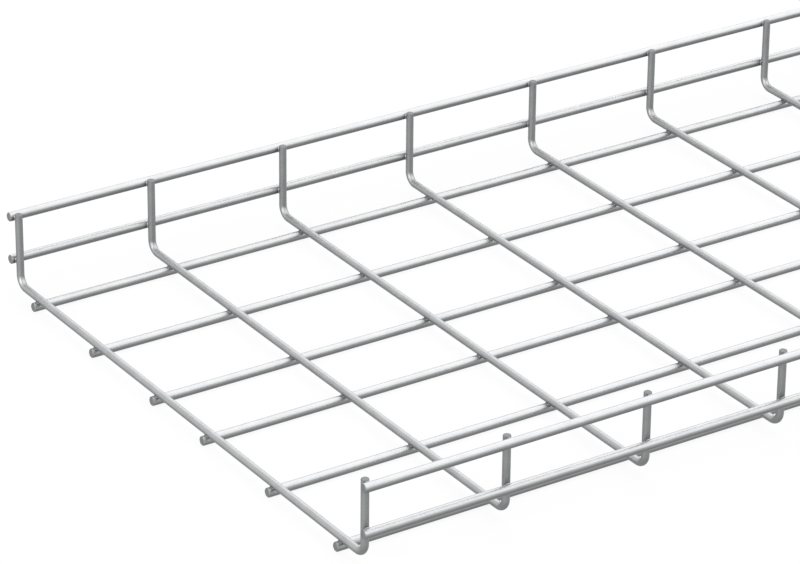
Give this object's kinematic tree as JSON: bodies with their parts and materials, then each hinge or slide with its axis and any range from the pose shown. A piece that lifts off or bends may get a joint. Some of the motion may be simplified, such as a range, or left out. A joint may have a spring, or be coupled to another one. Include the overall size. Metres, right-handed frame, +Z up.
{
  "type": "wire mesh cable basket",
  "caption": "Wide, shallow, open cable basket of bent cross wires, with straight line wires welded under its floor and along the outside of its low walls.",
  "frame": {"origin": "middle of the basket's footprint, on the plane that its floor line wires lie on", "axes": "+X along the basket, +Y across it towards the left wall, +Z up out of its open top"},
  "size_m": [3.003, 0.4242, 0.058],
  "materials": {
    "line_wire_zinc": "bright zinc-coated steel wire, satin",
    "cross_wire_zinc": "bright zinc-coated steel wire, satin"
  },
  "bodies": {
    "root": {"floor_line_wire_1": "line_wire_zinc", "floor_line_wire_2": "line_wire_zinc", "floor_line_wire_3": "line_wire_zinc", "floor_line_wire_4": "line_wire_zinc", "floor_line_wire_5": "line_wire_zinc", "floor_line_wire_6": "line_wire_zinc", "left_lower_line_wire": "line_wire_zinc", "left_upper_line_wire": "line_wire_zinc", "right_lower_line_wire": "line_wire_zinc", "right_upper_line_wire": "line_wire_zinc", "cross_wire_01": "cross_wire_zinc", "cross_wire_02": "cross_wire_zinc", "cross_wire_03": "cross_wire_zinc", "cross_wire_04": "cross_wire_zinc", "cross_wire_05": "cross_wire_zinc", "cross_wire_06": "cross_wire_zinc", "cross_wire_07": "cross_wire_zinc", "cross_wire_08": "cross_wire_zinc", "cross_wire_09": "cross_wire_zinc", "cross_wire_10": "cross_wire_zinc", "cross_wire_11": "cross_wire_zinc", "cross_wire_12": "cross_wire_zinc", "cross_wire_13": "cross_wire_zinc", "cross_wire_14": "cross_wire_zinc", "cross_wire_15": "cross_wire_zinc", "cross_wire_16": "cross_wire_zinc", "cross_wire_17": "cross_wire_zinc", "cross_wire_18": "cross_wire_zinc", "cross_wire_19": "cross_wire_zinc", "cross_wire_20": "cross_wire_zinc", "cross_wire_21": "cross_wire_zinc", "cross_wire_22": "cross_wire_zinc", "cross_wire_23": "cross_wire_zinc", "cross_wire_24": "cross_wire_zinc", "cross_wire_25": "cross_wire_zinc", "cross_wire_26": "cross_wire_zinc", "cross_wire_27": "cross_wire_zinc", "cross_wire_28": "cross_wire_zinc", "cross_wire_29": "cross_wire_zinc", "cross_wire_30": "cross_wire_zinc", "cross_wire_31": "cross_wire_zinc"}
  },
  "joints": []
}
